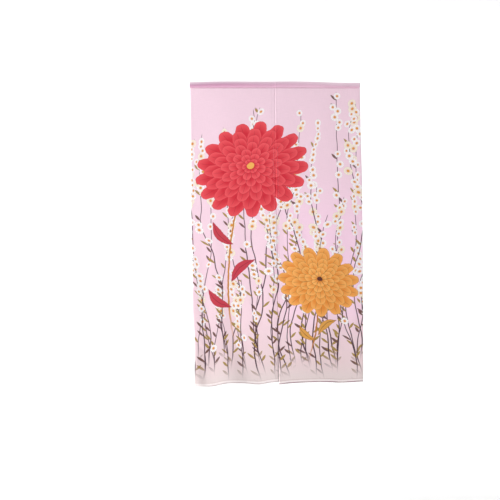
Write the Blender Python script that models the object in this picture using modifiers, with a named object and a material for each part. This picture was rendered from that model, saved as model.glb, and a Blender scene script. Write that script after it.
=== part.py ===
"""Two-panel noren, a split doorway curtain, as it hangs from its empty rod pocket.

Two widths of thin printed polyester hang side by side. A seam joins them at the top, and below it
they part in a slit. The heading, a pocket for a rod, runs across both. The origin is the middle of
the top edge, +Z is up, and the printed face looks along -Y. All sizes are in metres.

A point of the flat cloth is named by u, its distance to the right of the slit, and v, its distance
below the top edge. The tables below say where each point hangs.
"""

import math
from bisect import bisect_right
from collections import namedtuple

import bmesh
import bpy

# The flat cloth.
CLOTH_WIDTH = 0.850
CLOTH_LENGTH = 1.500
SLIT_START = 0.330
POCKET_DROP = 0.032  # top edge to the stitch line that closes the pocket
POCKET_RADIUS = 0.0095  # outside of the cloth where it would turn over a rod
POCKET_WALL = 0.0010
SHEET_THICKNESS = 0.0012
HEM_THICKNESS = 0.0018
SIDE_HEM = 0.012
BOTTOM_HEM = 0.012
HEM_STEP = 0.0015  # width of the step down from hem to single cloth
PIECE_GAP = 0.00035  # between neighbouring pieces
SLIT_GAP = 0.00060  # between the free edges, before they lap

# How it hangs.
POCKET_BULGE = 0.25  # growth of the pocket's radius for each unit that its top edge sags
SLIT_OVERLAP = 0.0030  # the right width's edge laps over the left one's by this much at the hem
OVERLAP_START = 1.200
RIPPLE_DEPTH = 0.0025  # slack below the pocket, which has faded at RIPPLE_END
RIPPLE_PITCH = 0.240
RIPPLE_END = 0.550
HEM_DROP_START = 0.700  # the hem's unevenness is spread over the cloth below this

# Mesh density.
PANEL_COLUMNS = 22
PANEL_ROWS = 29
POCKET_STATIONS = 25
POCKET_ARC_STEPS = 10
POCKET_SIDE_STEPS = 2

# The pocket's top edge sags between the places where it is held.
TopPoint = namedtuple("TopPoint", "u sag")
TOP_LINE = (
    TopPoint(-0.425, 0.004),
    TopPoint(-0.330, 0.001),
    TopPoint(-0.225, 0.000),
    TopPoint(-0.060, 0.001),
    TopPoint(0.090, 0.000),
    TopPoint(0.200, 0.002),
    TopPoint(0.300, 0.006),
    TopPoint(0.425, 0.007),
)

# Sideways drift of the three long edges towards +X. The left width drifts most at its outer edge,
# because its deeper folds take up more cloth.
EdgePoint = namedtuple("EdgePoint", "v left slit right")
EDGE_LINES = (
    EdgePoint(0.00, 0.001, 0.0000, 0.000),
    EdgePoint(0.25, 0.0055, 0.0025, 0.004),
    EdgePoint(0.50, 0.0075, 0.0060, 0.011),
    EdgePoint(0.75, 0.008, 0.0095, 0.014),
    EdgePoint(0.92, 0.0145, 0.0120, 0.015),
    EdgePoint(1.10, 0.015, 0.0140, 0.016),
    EdgePoint(1.25, 0.0245, 0.0162, 0.016),
    EdgePoint(1.35, 0.0265, 0.0187, 0.016),
    EdgePoint(1.42, 0.0235, 0.0208, 0.0172),
    EdgePoint(1.50, 0.025, 0.0220, 0.017),
)

# A fold runs from top_u to hem_u. A positive depth stands towards the viewer. It starts to show at
# start, reaches its depth at full and has gone by end.
Fold = namedtuple("Fold", "top_u hem_u half_width depth start full end")
THROUGH_HEM = 9.0

# How far the hem hangs below CLOTH_LENGTH.
HemPoint = namedtuple("HemPoint", "u drop")

Panel = namedtuple("Panel", "name side folds hem_line")
LEFT = Panel(
    name="panel_left",
    side=-1,
    folds=(
        Fold(-0.436, -0.388, 0.059, 0.0100, 0.73, 1.23, 1.46),
        Fold(-0.463, -0.428, 0.032, -0.0065, 1.23, 1.55, THROUGH_HEM),
        Fold(-0.414, -0.408, 0.042, 0.0075, 1.28, 1.38, THROUGH_HEM),
        Fold(-0.319, -0.285, 0.061, 0.0033, 0.57, 1.18, 1.32),
        Fold(-0.273, -0.238, 0.143, 0.0185, 1.29, 1.50, THROUGH_HEM),
        Fold(-0.269, -0.172, 0.111, -0.0060, 0.86, 1.25, THROUGH_HEM),
        Fold(-0.216, -0.163, 0.056, -0.0026, 1.28, 1.43, THROUGH_HEM),
        Fold(-0.034, 0.032, 0.135, 0.0090, 0.55, 0.78, THROUGH_HEM),
        Fold(0.000, 0.000, 0.022, -0.0046, 0.54, 1.27, THROUGH_HEM),
        Fold(0.008, 0.008, 0.024, -0.0080, 1.10, 1.45, THROUGH_HEM),
    ),
    hem_line=(
        HemPoint(-0.425, 0.024),
        HemPoint(-0.345, 0.025),
        HemPoint(-0.265, 0.008),
        HemPoint(-0.195, 0.008),
        HemPoint(-0.105, 0.0155),
        HemPoint(-0.048, 0.006),
        HemPoint(0.000, 0.000),
    ),
)
RIGHT = Panel(
    name="panel_right",
    side=1,
    folds=(
        Fold(0.210, 0.210, 0.600, 0.0100, 0.40, 0.95, THROUGH_HEM),
        Fold(0.240, 0.210, 0.170, 0.0095, 0.40, 1.18, 1.49),
        Fold(0.377, 0.324, 0.092, -0.0043, 0.54, 0.89, THROUGH_HEM),
        Fold(0.428, 0.412, 0.045, -0.0110, 0.40, 0.94, 1.47),
        Fold(0.088, 0.106, 0.068, 0.0050, 0.63, 0.80, 1.60),
        Fold(0.275, 0.253, 0.076, -0.0025, 0.91, 1.09, THROUGH_HEM),
        Fold(-0.004, -0.004, 0.014, -0.0040, 0.50, 1.00, THROUGH_HEM),
    ),
    hem_line=(
        HemPoint(0.000, 0.0145),
        HemPoint(0.070, 0.0072),
        HemPoint(0.180, 0.0024),
        HemPoint(0.260, 0.0028),
        HemPoint(0.312, 0.0055),
        HemPoint(0.425, -0.0012),
    ),
)

PIECE_COLOURS = {
    "heading": (0.80, 0.46, 0.60, 1.0),
    "panel_left": (0.89, 0.64, 0.72, 1.0),
    "panel_right": (0.88, 0.62, 0.71, 1.0),
}
CLOTH_ROUGHNESS = 0.75


def smooth(t):
    """Eases from 0 to 1 as t goes from 0 to 1."""
    t = min(1.0, max(0.0, t))
    return t * t * (3.0 - 2.0 * t)


def bump(t):
    """1 at t = 0, falling smoothly to 0 at t = 1 and t = -1."""
    return 0.5 * (1.0 + math.cos(math.pi * min(1.0, abs(t))))


def curve_at(rows, place, column=1):
    """A column of a table at a place along its first column, on a smooth curve through its rows."""
    places = [row[0] for row in rows]
    values = [row[column] for row in rows]
    place = min(places[-1], max(places[0], place))
    i = min(bisect_right(places, place), len(rows) - 1) - 1

    def slope(row):
        low, high = max(row - 1, 0), min(row + 1, len(rows) - 1)
        return (values[high] - values[low]) / (places[high] - places[low])

    span = places[i + 1] - places[i]
    rise = values[i + 1] - values[i]
    t = (place - places[i]) / span
    start_bend = slope(i) * span - rise
    end_bend = rise - slope(i + 1) * span
    return values[i] + t * rise + t * (1.0 - t) * ((1.0 - t) * start_bend + t * end_bend)


def fold_depth(panel, u, v):
    """How far the cloth stands towards the viewer."""
    slack = bump(v / RIPPLE_END) * smooth((v - POCKET_DROP) / SLIT_START)
    depth = RIPPLE_DEPTH * slack * math.cos(2.0 * math.pi * u / RIPPLE_PITCH)
    for fold in panel.folds:
        run = smooth((v - fold.start) / (CLOTH_LENGTH - fold.start))
        centre = fold.top_u + run * (fold.hem_u - fold.top_u)
        strength = smooth((v - fold.start) / (fold.full - fold.start))
        strength *= 1.0 - smooth((v - fold.full) / (fold.end - fold.full))
        depth += fold.depth * strength * bump((u - centre) / fold.half_width)
    return depth


def cloth_point(panel, u, v):
    """Where a point of the panel's printed face hangs."""
    outer_edge = EdgePoint._fields.index("left" if panel.side < 0 else "right")
    slit_drift = curve_at(EDGE_LINES, v, EdgePoint._fields.index("slit"))
    edge_drift = curve_at(EDGE_LINES, v, outer_edge)
    drift = slit_drift + (edge_drift - slit_drift) * abs(u) / (0.5 * CLOTH_WIDTH)
    lap = SLIT_OVERLAP * smooth((v - OVERLAP_START) / (CLOTH_LENGTH - OVERLAP_START)) ** 2
    parted = PIECE_GAP + (SLIT_GAP - PIECE_GAP) * smooth((v - SLIT_START) / SLIT_START)
    gap = parted - lap
    spread = smooth((v - HEM_DROP_START) / (CLOTH_LENGTH - HEM_DROP_START))
    drop = curve_at(panel.hem_line, u) * spread
    return u + drift + panel.side * 0.5 * gap, -fold_depth(panel, u, v), -(v + drop)


def stations(start, end, count, start_hem=0.0, end_hem=0.0):
    """Evenly spaced positions from start to end, with a narrow step at the inside of each hem."""
    first, last = start, end
    before, after = [], []
    if start_hem:
        before = [start, start + start_hem]
        first = start + start_hem + HEM_STEP
    if end_hem:
        after = [end - end_hem, end]
        last = end - end_hem - HEM_STEP
    even = [first + (last - first) * i / (count - 1) for i in range(count)]
    return before + even + after


def mapped_grid(name, across, down, place):
    """An object made of a grid whose vertices lie at place(i, j) for each station i and j.

    Its vertices are numbered row by row from the last station down, and its face looks along -Y
    where across runs towards +X and down towards -Z.
    """
    columns, rows = len(across) - 1, len(down) - 1
    grid = bmesh.new()
    bmesh.ops.create_grid(grid, x_segments=columns, y_segments=rows, size=0.5)
    for vertex in grid.verts:
        i = round((vertex.co.x + 0.5) * columns)
        j = round((0.5 - vertex.co.y) * rows)
        vertex.co = place(across[i], down[j])
    bmesh.ops.remove_doubles(grid, verts=grid.verts, dist=1e-6)
    mesh = bpy.data.meshes.new(name)
    grid.to_mesh(mesh)
    grid.free()
    mesh.shade_smooth()
    return bpy.data.objects.new(name, mesh)


def thicken(piece, thickness):
    """Gives an open sheet its thickness, behind the face that was drawn."""
    solidify = piece.modifiers.new("thickness", "SOLIDIFY")
    solidify.thickness = thickness
    solidify.offset = -1.0
    solidify.use_even_offset = True
    return solidify


def make_panel(panel):
    """One width of cloth from the pocket's stitch line to its hem, with its other edges hemmed."""
    left_u, right_u = sorted((0.0, panel.side * 0.5 * CLOTH_WIDTH))
    across = stations(left_u, right_u, PANEL_COLUMNS, SIDE_HEM, SIDE_HEM)
    down = stations(POCKET_DROP + PIECE_GAP, CLOTH_LENGTH, PANEL_ROWS, end_hem=BOTTOM_HEM)
    piece = mapped_grid(panel.name, across, down, lambda u, v: cloth_point(panel, u, v))

    columns = len(across)
    hem_columns = {0, 1, columns - 2, columns - 1}
    hem = piece.vertex_groups.new(name="hem")
    for vertex in piece.data.vertices:
        row_from_hem, column = divmod(vertex.index, columns)
        if column in hem_columns or row_from_hem < 2:
            hem.add([vertex.index], 1.0, "REPLACE")

    solidify = thicken(piece, HEM_THICKNESS)
    solidify.vertex_group = hem.name
    solidify.thickness_vertex_group = SHEET_THICKNESS / HEM_THICKNESS
    return piece


def pocket_section(sag):
    """The pocket's cross-section where its top edge has sunk by sag, as points y and z.

    The cloth rises straight from the stitch line, turns over where a rod would lie, and comes
    straight back down to the stitches.
    """
    radius = POCKET_RADIUS + POCKET_BULGE * sag
    centre_z = -sag - radius
    reach = centre_z + POCKET_DROP
    half_angle = math.asin(radius / reach)
    side_length = math.sqrt(reach**2 - radius**2)

    def side_point(way, share):
        length = side_length * share
        return way * length * math.sin(half_angle), length * math.cos(half_angle) - POCKET_DROP

    def arc_point(share):
        start, end = math.pi + half_angle, -half_angle
        angle = start + (end - start) * share
        return radius * math.cos(angle), centre_z + radius * math.sin(angle)

    shares = [i / POCKET_SIDE_STEPS for i in range(POCKET_SIDE_STEPS)]
    front = [side_point(-1.0, share) for share in shares]
    over = [arc_point(i / POCKET_ARC_STEPS) for i in range(POCKET_ARC_STEPS + 1)]
    back = [side_point(1.0, share) for share in reversed(shares)]
    return front + over + back


def make_heading():
    """The rod pocket: one tube of cloth across both widths, open at both ends."""
    across = stations(-0.5 * CLOTH_WIDTH, 0.5 * CLOTH_WIDTH, POCKET_STATIONS)
    sections = {u: pocket_section(curve_at(TOP_LINE, u)) for u in across}
    way_round = list(reversed(range(len(sections[across[0]]))))
    piece = mapped_grid("heading", across, way_round, lambda u, k: (u, *sections[u][k]))
    thicken(piece, POCKET_WALL)
    return piece


def cloth_material(name):
    """Dyed polyester in the piece's own colour."""
    material = bpy.data.materials.new(name + "_cloth")
    material.use_nodes = True
    shader = material.node_tree.nodes["Principled BSDF"]
    shader.inputs["Base Color"].default_value = PIECE_COLOURS[name]
    shader.inputs["Roughness"].default_value = CLOTH_ROUGHNESS
    shader.inputs["Metallic"].default_value = 0.0
    return material


def main():
    for old in list(bpy.data.objects):
        bpy.data.objects.remove(old)
    collection = bpy.data.collections.new("noren_curtain")
    bpy.context.scene.collection.children.link(collection)
    top_edge = bpy.data.objects.new("top_edge", None)
    collection.objects.link(top_edge)
    for piece in (make_heading(), make_panel(LEFT), make_panel(RIGHT)):
        piece.data.materials.append(cloth_material(piece.name))
        piece.parent = top_edge
        collection.objects.link(piece)


main()
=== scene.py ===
"""Dresses a two-panel noren, a split doorway curtain in printed polyester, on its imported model.

The origin is the middle of the top edge, +X is right as the printed face is seen, that face looks
along -Y, and +Z is up. All sizes are in metres unless a comment says millimetres.

A point of the flat cloth is (u, v): u to the right of the slit and v below the top edge. The
cloth's own UV map is (u, h), in metres, with h above the bottom edge. The print follows it, so it
stays with the cloth through every fold.
"""

import logging
import math
from bisect import bisect_right
from collections.abc import Callable, Sequence
from dataclasses import dataclass, field
from enum import Enum, IntEnum
from functools import partial
from typing import NamedTuple

import bpy
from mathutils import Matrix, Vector


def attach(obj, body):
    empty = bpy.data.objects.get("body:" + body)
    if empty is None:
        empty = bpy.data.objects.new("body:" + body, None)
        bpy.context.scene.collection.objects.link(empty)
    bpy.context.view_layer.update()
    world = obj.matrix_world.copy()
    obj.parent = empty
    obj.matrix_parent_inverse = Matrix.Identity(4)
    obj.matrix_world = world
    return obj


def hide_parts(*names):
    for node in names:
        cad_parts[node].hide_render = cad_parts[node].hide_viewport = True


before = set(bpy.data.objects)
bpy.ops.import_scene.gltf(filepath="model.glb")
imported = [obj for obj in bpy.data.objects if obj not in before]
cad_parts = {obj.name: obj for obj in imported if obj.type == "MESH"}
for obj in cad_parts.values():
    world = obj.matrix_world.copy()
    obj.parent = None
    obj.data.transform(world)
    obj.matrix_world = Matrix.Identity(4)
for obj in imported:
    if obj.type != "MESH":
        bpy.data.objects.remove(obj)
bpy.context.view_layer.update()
LOG = logging.getLogger("noren")

BODY = "root"
CLOTH_MAP = "cloth"

Colour = tuple[float, float, float, float]
Pair = tuple[float, float]
Point = tuple[float, float, float]
Tones = tuple[tuple[float, str], ...]
Node = bpy.types.Node
Tree = bpy.types.NodeTree
Source = Node | bpy.types.NodeSocket | str | float | Sequence[float] | None
Put = Callable[..., Node]


class Ramp(NamedTuple):
    """A value that goes from low at the start to high at the end, and stays so beyond them."""

    start: float
    end: float
    low: float = 0.0
    high: float = 1.0


# A printed edge is 0.6 mm soft, so that it doesn't flicker from pixel to pixel.
PRINT_EDGE = 0.0003
# A fine printed line fades out between these distances from its middle.
FINE_LINE = Ramp(0.0016, 0.0006)
# Most of a noise's values lie between these.
NOISE_SPAN = (0.25, 0.75)


# --- Numbers and nodes ---


def linear(hex_colour: str) -> Colour:
    """Turns an sRGB hex colour into the linear one that a shader takes.

    Args:
        hex_colour: six hex digits.

    Returns:
        Linear red, green, blue and an alpha of 1.
    """
    channels = [int(hex_colour[i : i + 2], 16) / 255.0 for i in (0, 2, 4)]
    return *(c / 12.92 if c <= 0.04045 else ((c + 0.055) / 1.055) ** 2.4 for c in channels), 1.0


def smooth(t: float) -> float:
    """Eases from 0 to 1 as t goes from 0 to 1."""
    t = min(1.0, max(0.0, t))
    return t * t * (3.0 - 2.0 * t)


def bump(t: float) -> float:
    """Is 1 at t = 0 and falls smoothly to 0 at t = 1 and t = -1."""
    return 0.5 * (1.0 + math.cos(math.pi * min(1.0, abs(t))))


def curve_at(rows: Sequence[Sequence[float]], place: float, column: int = 1) -> float:
    """Reads a column of a table on a smooth curve through its rows.

    Args:
        rows: the table, sorted by its first column.
        place: where to read, along the first column.
        column: the column to read.

    Returns:
        The column's value at that place.
    """
    places = [row[0] for row in rows]
    values = [row[column] for row in rows]
    place = min(places[-1], max(places[0], place))
    i = min(bisect_right(places, place), len(rows) - 1) - 1

    def slope(row: int) -> float:
        """Takes the slope between a row's two neighbours."""
        low, high = max(row - 1, 0), min(row + 1, len(rows) - 1)
        return (values[high] - values[low]) / (places[high] - places[low])

    span = places[i + 1] - places[i]
    rise = values[i + 1] - values[i]
    t = (place - places[i]) / span
    start_bend = slope(i) * span - rise
    end_bend = rise - slope(i + 1) * span
    return values[i] + t * rise + t * (1.0 - t) * ((1.0 - t) * start_bend + t * end_bend)


def unevenness(place: float, seed: float) -> float:
    """Wanders between about -1 and 1 along a seam, the same way on every run.

    Args:
        place: distance along the seam, in units of the wander's pitch.
        seed: picks one wander among many.

    Returns:
        The wander's height there.
    """
    waves = ((1.00, 0.0), (1.73, 1.3), (2.61, 4.1), (0.47, 2.2))
    total = sum(
        math.sin(math.tau * rate * place + shift + seed) / rate**0.5 for rate, shift in waves
    )
    # The waves together seldom pass 2.9.
    return total / 2.9


class Kind(NamedTuple):
    """A kind of node: its type, and the settings that tell it from others of that type."""

    type: str
    settings: dict[str, str] = {}


def kinds(node_type: str, setting: str, names: str) -> list[Kind]:
    """Lists the kinds of node that one setting makes of a type."""
    return [Kind(node_type, {setting: name}) for name in names.split()]


ADD, SUBTRACT, MULTIPLY, DIVIDE, MULTIPLY_ADD, POWER, PINGPONG, FLOOR, ABSOLUTE = kinds(
    "ShaderNodeMath",
    "operation",
    "ADD SUBTRACT MULTIPLY DIVIDE MULTIPLY_ADD POWER PINGPONG FLOOR ABSOLUTE",
)
MAXIMUM, LESS_THAN, GREATER_THAN, ARCTAN2 = kinds(
    "ShaderNodeMath", "operation", "MAXIMUM LESS_THAN GREATER_THAN ARCTAN2"
)
V_ADD, V_SUBTRACT, V_MULTIPLY, V_MULTIPLY_ADD, V_LENGTH = kinds(
    "ShaderNodeVectorMath", "operation", "ADD SUBTRACT MULTIPLY MULTIPLY_ADD LENGTH"
)
RANGE, EASE, STEPS = kinds("ShaderNodeMapRange", "interpolation_type", "LINEAR SMOOTHSTEP STEPPED")
NOISE_1D, NOISE_2D, NOISE_3D = kinds("ShaderNodeTexNoise", "noise_dimensions", "1D 2D 3D")
DICE_1D, DICE_2D = kinds("ShaderNodeTexWhiteNoise", "noise_dimensions", "1D 2D")
WAVE_X, WAVE_Y, WAVE_SLANTED = kinds("ShaderNodeTexWave", "bands_direction", "X Y DIAGONAL")
MIX = Kind("ShaderNodeMix", {"data_type": "RGBA"})
TINT = Kind("ShaderNodeMix", {"data_type": "RGBA", "blend_type": "MULTIPLY"})
TURN = Kind("ShaderNodeVectorRotate", {"rotation_type": "Z_AXIS"})
FLAT_PLACE = Kind("ShaderNodeUVMap", {"uv_map": CLOTH_MAP})
PLACE = Kind("ShaderNodeTexCoord")
STRETCH = Kind("ShaderNodeMapping")
AXES = Kind("ShaderNodeSeparateXYZ")
JOIN = Kind("ShaderNodeCombineXYZ")
CHANNELS = Kind("ShaderNodeSeparateColor")
COLOUR = Kind("ShaderNodeCombineColor")
TONES = Kind("ShaderNodeValToRGB")
GROUP = Kind("ShaderNodeGroup")
RELIEF = Kind("ShaderNodeBump")
SURFACE = Kind("ShaderNodeBsdfPrincipled")
OUTPUT = Kind("ShaderNodeOutputMaterial")


def feed(
    tree: Tree, node: Node, *sources: Source, into: dict[str | int, Source] | None = None
) -> Node:
    """Links or sets a node's inputs.

    Args:
        tree: the node's tree.
        node: the node.
        *sources: what feeds its inputs in order: a node, a socket, a hex colour or a value. None
            leaves an input as it is.
        into: more sources, by the input's name or number.

    Returns:
        The same node.
    """
    inputs = [socket for socket in node.inputs if socket.enabled]
    named = [(node.inputs[key], source) for key, source in (into or {}).items()]
    for socket, source in [*zip(inputs, sources), *named]:
        if isinstance(source, Node):
            source = next(output for output in source.outputs if output.enabled)
        if isinstance(source, bpy.types.NodeSocket):
            tree.links.new(source, socket)
        elif source is not None:
            socket.default_value = linear(source) if isinstance(source, str) else source
    return node


def add(
    tree: Tree,
    kind: Kind,
    *sources: Source,
    into: dict[str | int, Source] | None = None,
    **settings: object,
) -> Node:
    """Adds a node to a tree, with its settings and its links.

    Args:
        tree: the tree that the node joins.
        kind: the node's kind.
        *sources: what feeds the node's inputs in order, as feed takes it.
        into: more sources, by the input's name or number.
        **settings: more attributes of the node.

    Returns:
        The new node.
    """
    node = tree.nodes.new(kind.type)
    for name, value in (kind.settings | settings).items():
        setattr(node, name, value)
    return feed(tree, node, *sources, into=into)


def in_turn(put: Put, place: Source, colour: Source) -> Node:
    """Makes a place wait for the colour under it, so that a print's parts are worked out in turn.

    Without it the renderer works on all of them side by side, and runs out of room for numbers.

    Args:
        put: adds a node to the tree of both.
        place: the place to draw at, which keeps its value.
        colour: the colour so far.

    Returns:
        The node with the same place.
    """
    next_to_nothing = (1e-10, 1e-10, 1e-10)
    return put(V_MULTIPLY_ADD, colour, next_to_nothing, place)


def new_group(
    name: str, kind: str, inputs: dict[str, str], outputs: dict[str, str]
) -> tuple[Tree, Put, list[bpy.types.NodeSocket], Node]:
    """Starts a node group with named sockets.

    Args:
        name: the group's name.
        kind: the tree's type.
        inputs: socket types by input name, each without its NodeSocket prefix.
        outputs: socket types by output name.

    Returns:
        The tree, what adds a node to it, the sockets that it is given, and its output node.
    """
    tree = bpy.data.node_groups.new(name, kind)
    for way, sockets in (("INPUT", inputs), ("OUTPUT", outputs)):
        for socket, socket_kind in sockets.items():
            tree.interface.new_socket(socket, in_out=way, socket_type="NodeSocket" + socket_kind)
    given, made = tree.nodes.new("NodeGroupInput"), tree.nodes.new("NodeGroupOutput")
    return tree, partial(add, tree), given.outputs[: len(inputs)], made


def new_material(name: str) -> tuple[bpy.types.Material, Put]:
    """Starts a material with no nodes.

    Args:
        name: the material's name.

    Returns:
        The material and what adds a node to it.
    """
    material = bpy.data.materials.new(name)
    material.use_nodes = True
    material.node_tree.nodes.clear()
    return material, partial(add, material.node_tree)


def set_stops(ramp: Node, tones: Tones, top: float = 1.0) -> Node:
    """Gives a colour ramp its stops.

    Args:
        ramp: the colour ramp node.
        tones: places and sRGB hex colours, in order.
        top: the place at the ramp's end.

    Returns:
        The same node.
    """
    stops = ramp.color_ramp.elements
    while len(stops) < len(tones):
        stops.new(1.0)
    for stop, (place, tone) in zip(stops, tones):
        stop.position, stop.color = place / top, linear(tone)
    return ramp


def wave_scale(pitch: float) -> float:
    """The scale at which a wave along one axis is two threads of that pitch long."""
    run_at_scale_one = 0.314
    return run_at_scale_one / pitch / 2.0


# --- Meshes ---


class ClothFace(Enum):
    """The two sides of the cloth, as material indices."""

    PRINTED = 0
    REVERSE = 1


@dataclass(frozen=True)
class SheetGrid:
    """A sheet's vertices and its flat coordinates, row by row."""

    across: Sequence[float]
    down: Sequence[float]
    place: Callable[[float, float], Point]
    flat: Callable[[float, float], Pair]
    closed: bool = False

    def mesh(self, name: str) -> bpy.types.Mesh:
        """Makes the mesh, whose face looks along -Y where across runs to +X and down to -Z.

        Args:
            name: the mesh's name.

        Returns:
            An open sheet, or a tube if the last row meets the first.
        """
        columns, rows = len(self.across), len(self.down)
        made = rows - 1 if self.closed else rows
        points = [self.place(a, d) for d in self.down[:made] for a in self.across]
        faces, corners = [], []
        for j in range(rows - 1):
            for i in range(columns - 1):
                ring = ((j, i), (j + 1, i), (j + 1, i + 1), (j, i + 1))
                faces.append([(row % made) * columns + column for row, column in ring])
                corners += [self.flat(self.across[c], self.down[r]) for r, c in ring]
        mesh = bpy.data.meshes.new(name)
        mesh.from_pydata(points, [], faces)
        layer = mesh.uv_layers.new(name=CLOTH_MAP)
        layer.data.foreach_set("uv", [x for corner in corners for x in corner])
        mesh.shade_smooth()
        return mesh


def spaced(start: float, end: float, step: float) -> list[float]:
    """Places evenly from start to end, no further apart than step."""
    count = max(1, math.ceil(abs(end - start) / step))
    return [start + (end - start) * i / count for i in range(count + 1)]


def stations(marks: Sequence[float], step: float) -> list[float]:
    """Places from the first mark to the last, no further apart than step, on every mark."""
    pairs = zip(marks, marks[1:])
    return [marks[0]] + [place for start, end in pairs for place in spaced(start, end, step)[1:]]


def settle(piece: bpy.types.Object) -> None:
    """Applies a piece's modifiers, so that it is a plain mesh before the frame hears of it.

    Args:
        piece: the piece.
    """
    view = bpy.context.evaluated_depsgraph_get()
    view.update()
    made = bpy.data.meshes.new_from_object(piece.evaluated_get(view))
    made.name = piece.name
    piece.modifiers.clear()
    piece.data = made


def show(piece: bpy.types.Object) -> None:
    """Links an object to the scene."""
    bpy.context.scene.collection.objects.link(piece)


# --- The print ---


@dataclass(frozen=True)
class Bloom:
    """One large layered bloom: rings of petals, drawn from the outside in."""

    centre: Pair
    reach: float
    tilt: float
    squash: float
    # Each ring's share of the reach, and its number of petals.
    rings: tuple[tuple[float, int], ...]
    tip: str
    base: str
    line: str
    heart: str
    # The rise and the heart are shares of the reach.
    rise: float = 0.085
    heart_size: float = 0.08
    heart_edge: Pair = (0.072, 0.064)
    ring_turn: float = 0.37
    line_width: float = 0.0021
    vein_strength: float = 0.55
    vein_end: Ramp = Ramp(0.97, 0.90)
    # A petal's shade starts and ends this far beyond its root and its middle.
    shade_reach: Pair = (-0.06, 0.12)

    def draw(self, put: Put, under: Source, place: Source, ring: Tree) -> Node:
        """Draws the bloom over the colours under it.

        Args:
            put: adds a node to the print's tree.
            under: the colour so far.
            place: the flat place, in metres.
            ring: the petal ring group.

        Returns:
            The node with the new colour.
        """
        away = put(V_SUBTRACT, in_turn(put, place, under), (*self.centre, 0.0))
        turned = put(TURN, away, None, -self.tilt)
        round_place = put(V_MULTIPLY, turned, (1.0, 1.0 / self.squash, 1.0))
        colour = under
        inner_shares = [share for share, _ in self.rings[1:]] + [self.heart_size]
        for number, ((share, petals), inner) in enumerate(zip(self.rings, inner_shares)):
            # Each inner ring sits a little higher, as petals do that rise around a heart.
            lift = self.rise * self.reach * (1.0 - share)
            seen = put(V_ADD, in_turn(put, round_place, colour), (0.0, -lift, 0.0))
            sizes = (share * self.reach, float(petals), self.ring_turn * number, self.line_width)
            cover, outline, out, ray = put(GROUP, seen, *sizes, node_tree=ring).outputs
            # A petal is darkest where it comes out from under the ring inside it.
            root = inner / share
            dark, pale = self.shade_reach
            toned = put(RANGE, out, root + dark, 0.5 * (root + 1.0) + pale)
            petal = put(MIX, toned, self.base, self.tip)
            vein = put(RANGE, ray, *FINE_LINE[:3], self.vein_strength)
            veins = put(MULTIPLY, vein, put(RANGE, out, *self.vein_end))
            lined = put(MIX, put(MAXIMUM, veins, outline), petal, self.line)
            colour = put(MIX, cover, colour, lined)
        heart_place = put(V_ADD, round_place, (0.0, -self.rise * self.reach, 0.0))
        edge = [share * self.reach for share in self.heart_edge]
        heart = put(RANGE, put(V_LENGTH, heart_place), *edge)
        return put(MIX, heart, colour, self.heart)


@dataclass(frozen=True)
class Blade:
    """One large leaf of a bloom's stem, which grows from a share of the stem's height."""

    share: float
    angle: float
    length: float
    width: float


@dataclass(frozen=True)
class Shoot:
    """The stem of a large bloom, from its foot to the bloom, with its leaves."""

    foot: Pair
    head: Pair
    bow: float
    width: float
    colour: str
    leaf: str
    vein: str
    blades: tuple[Blade, ...]
    # Shares of the stem's height over which it ends and comes up out of the ground colour.
    top_end: Ramp = Ramp(1.0, 0.99)
    foot_end: Ramp = Ramp(0.0, 0.30)

    def at(self, share: float) -> Pair:
        """Finds a place on the stem.

        Args:
            share: how far up the stem, as a share of its height.

        Returns:
            The flat place.
        """
        (foot_u, foot_h), (head_u, head_h) = self.foot, self.head
        u = foot_u + share * (head_u - foot_u) + 4.0 * self.bow * share * (1.0 - share)
        return u, foot_h + share * (head_h - foot_h)

    def draw(self, put: Put, under: Source, place: Source, blade: Tree) -> Node:
        """Draws the stem and its leaves over the colours under them.

        Args:
            put: adds a node to the print's tree.
            under: the colour so far.
            place: the flat place, in metres.
            blade: the leaf group.

        Returns:
            The node with the new colour.
        """
        (foot_u, foot_h), (head_u, head_h) = self.foot, self.head
        u, h, _ = put(AXES, in_turn(put, place, under)).outputs
        climb = put(RANGE, h, foot_h, head_h, clamp=False)
        straight = put(MULTIPLY_ADD, climb, head_u - foot_u, foot_u)
        arch = put(MULTIPLY, put(SUBTRACT, 1.0, climb), climb)
        line = put(MULTIPLY_ADD, arch, 4.0 * self.bow, straight)
        off = put(ABSOLUTE, put(SUBTRACT, u, line))
        half = 0.5 * self.width
        stem_line = put(RANGE, off, half + PRINT_EDGE, half - PRINT_EDGE)
        below, above = put(RANGE, climb, *self.top_end), put(EASE, climb, *self.foot_end)
        stem = put(MULTIPLY, stem_line, put(MULTIPLY, below, above))
        colour = put(MIX, stem, under, self.colour)
        for leaf in self.blades:
            base_u, base_h = self.at(leaf.share)
            middle_u = base_u + 0.5 * leaf.length * math.cos(leaf.angle)
            middle_h = base_h + 0.5 * leaf.length * math.sin(leaf.angle)
            sizes = ((middle_u, middle_h, 0.0), leaf.angle, leaf.length, leaf.width)
            drawn = put(GROUP, in_turn(put, place, colour), *sizes, node_tree=blade)
            cover, vein = drawn.outputs
            colour = put(MIX, cover, colour, put(MIX, vein, self.leaf, self.vein))
        return colour


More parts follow.
